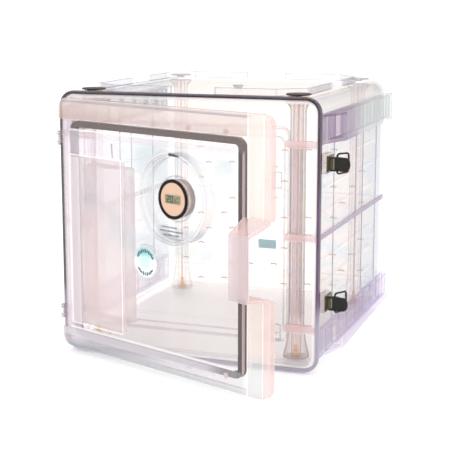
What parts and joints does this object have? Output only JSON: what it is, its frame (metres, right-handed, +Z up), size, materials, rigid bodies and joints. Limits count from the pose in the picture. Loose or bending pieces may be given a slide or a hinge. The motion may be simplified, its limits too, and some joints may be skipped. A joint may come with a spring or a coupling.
{
  "type": "desiccator cabinet",
  "caption": "Clear bench-top desiccator cabinet: gasketed door, hooded grip, draw latches, shelves, door hygrometer and humidity card.",
  "frame": {"origin": "centre of the whole object's footprint with the door ajar, on the surface its feet stand on", "axes": "+X to the cabinet's right, +Y towards its back, +Z up; the door is at the -Y side"},
  "size_m": [0.3522, 0.4662, 0.311],
  "materials": {
    "cabinet_tub": "clear, gloss",
    "front_frame": "clear, gloss",
    "side_rail_upper_right": "clear, gloss",
    "side_rail_upper_left": "clear, gloss",
    "side_rail_lower_right": "clear, gloss",
    "side_rail_lower_left": "clear, gloss",
    "side_rib_right": "clear, gloss",
    "side_rib_left": "clear, gloss",
    "corner_post_front_left": "clear, gloss",
    "corner_post_front_right": "clear, gloss",
    "corner_post_back_left": "clear, gloss",
    "corner_post_back_right": "clear, gloss",
    "tie_rod_front_left": "polished",
    "tie_rod_front_right": "polished",
    "tie_rod_back_left": "polished",
    "tie_rod_back_right": "polished",
    "top_pad_front_left": "matte",
    "top_pad_front_right": "matte",
    "top_pad_back_left": "matte",
    "top_pad_back_right": "matte",
    "foot_front_left": "matte",
    "foot_front_right": "matte",
    "foot_back_left": "matte",
    "foot_back_right": "matte",
    "stack_fence_front_left": "clear, gloss",
    "stack_fence_front_right": "clear, gloss",
    "stack_fence_back_left": "clear, gloss",
    "stack_fence_back_right": "clear, gloss",
    "shelf_lower": "clear, gloss",
    "shelf_middle": "clear, gloss",
    "hinge_bracket_lower": "clear, gloss",
    "hinge_pin_lower": "bright",
    "hinge_bracket_upper": "clear, gloss",
    "hinge_pin_upper": "bright",
    "latch_boss_upper": "clear, gloss",
    "latch_base_upper": "olive plated",
    "latch_pivot_pin_upper": "bright",
    "latch_boss_lower": "clear, gloss",
    "latch_base_lower": "olive plated",
    "latch_pivot_pin_lower": "bright",
    "door_panel": "clear, gloss",
    "door_gasket": "satin",
    "door_pocket": "clear, gloss",
    "instrument_plug": "clear, gloss",
    "hygrometer_barrel": "polished",
    "hygrometer_bezel": "gloss",
    "hygrometer_face": "polished",
    "hygrometer_display": "gloss",
    "hygrometer_locknut": "clear, gloss",
    "humidity_card": "printed card",
    "humidity_card_ring": "clear, gloss",
    "latch_keeper_upper": "clear, gloss",
    "latch_keeper_lower": "clear, gloss",
    "latch_lever_upper": "black satin",
    "latch_lever_lower": "black satin",
    "latch_bail_upper": "black satin",
    "latch_bail_lower": "black satin",
    "port_plug": "matte"
  },
  "bodies": {
    "cabinet": {"cabinet_tub": "cabinet_tub", "front_frame": "front_frame", "side_rail_upper_right": "side_rail_upper_right", "side_rail_upper_left": "side_rail_upper_left", "side_rail_lower_right": "side_rail_lower_right", "side_rail_lower_left": "side_rail_lower_left", "side_rib_right": "side_rib_right", "side_rib_left": "side_rib_left", "corner_post_front_left": "corner_post_front_left", "corner_post_front_right": "corner_post_front_right", "corner_post_back_left": "corner_post_back_left", "corner_post_back_right": "corner_post_back_right", "tie_rod_front_left": "tie_rod_front_left", "tie_rod_front_right": "tie_rod_front_right", "tie_rod_back_left": "tie_rod_back_left", "tie_rod_back_right": "tie_rod_back_right", "top_pad_front_left": "top_pad_front_left", "top_pad_front_right": "top_pad_front_right", "top_pad_back_left": "top_pad_back_left", "top_pad_back_right": "top_pad_back_right", "foot_front_left": "foot_front_left", "foot_front_right": "foot_front_right", "foot_back_left": "foot_back_left", "foot_back_right": "foot_back_right", "stack_fence_front_left": "stack_fence_front_left", "stack_fence_front_right": "stack_fence_front_right", "stack_fence_back_left": "stack_fence_back_left", "stack_fence_back_right": "stack_fence_back_right", "shelf_lower": "shelf_lower", "shelf_middle": "shelf_middle", "hinge_bracket_lower": "hinge_bracket_lower", "hinge_pin_lower": "hinge_pin_lower", "hinge_bracket_upper": "hinge_bracket_upper", "hinge_pin_upper": "hinge_pin_upper", "latch_boss_upper": "latch_boss_upper", "latch_base_upper": "latch_base_upper", "latch_pivot_pin_upper": "latch_pivot_pin_upper", "latch_boss_lower": "latch_boss_lower", "latch_base_lower": "latch_base_lower", "latch_pivot_pin_lower": "latch_pivot_pin_lower"},
    "door": {"door_panel": "door_panel", "door_gasket": "door_gasket", "door_pocket": "door_pocket", "instrument_plug": "instrument_plug", "hygrometer_barrel": "hygrometer_barrel", "hygrometer_bezel": "hygrometer_bezel", "hygrometer_face": "hygrometer_face", "hygrometer_display": "hygrometer_display", "hygrometer_locknut": "hygrometer_locknut", "humidity_card": "humidity_card", "humidity_card_ring": "humidity_card_ring", "latch_keeper_upper": "latch_keeper_upper", "latch_keeper_lower": "latch_keeper_lower"},
    "lever_upper": {"latch_lever_upper": "latch_lever_upper"},
    "lever_lower": {"latch_lever_lower": "latch_lever_lower"},
    "bail_upper": {"latch_bail_upper": "latch_bail_upper"},
    "bail_lower": {"latch_bail_lower": "latch_bail_lower"},
    "port_plug": {"port_plug": "port_plug"}
  },
  "joints": [
    {"name": "door_hinge", "type": "hinge", "parent": "cabinet", "child": "door", "pos_m": [-0.1601, -0.08886, 0.154], "axis": [0, 0, -1], "range_deg": [-22.3, 83.7]},
    {"name": "lever_hinge_upper", "type": "hinge", "parent": "cabinet", "child": "lever_upper", "pos_m": [0.1551, -0.06686, 0.2332], "axis": [0, 0, 1], "range_deg": [-4, 90]},
    {"name": "bail_hinge_upper", "type": "hinge", "parent": "lever_upper", "child": "bail_upper", "pos_m": [0.1604, -0.06656, 0.2332], "axis": [0, 0, 1], "range_deg": [-246, 12]},
    {"name": "lever_hinge_lower", "type": "hinge", "parent": "cabinet", "child": "lever_lower", "pos_m": [0.1551, -0.06686, 0.0795], "axis": [0, 0, 1], "range_deg": [-4, 90]},
    {"name": "bail_hinge_lower", "type": "hinge", "parent": "lever_lower", "child": "bail_lower", "pos_m": [0.1604, -0.06656, 0.0795], "axis": [0, 0, 1], "range_deg": [-246, 12]},
    {"name": "port_plug_slide", "type": "slide", "parent": "cabinet", "child": "port_plug", "axis": [0, 0, 1], "range_m": [0, 0.03]}
  ],
  "couplings": [
    {"joint": "bail_hinge_upper", "follows": "lever_hinge_upper", "ratio": -2.7222},
    {"joint": "bail_hinge_lower", "follows": "lever_hinge_lower", "ratio": -2.7222}
  ]
}
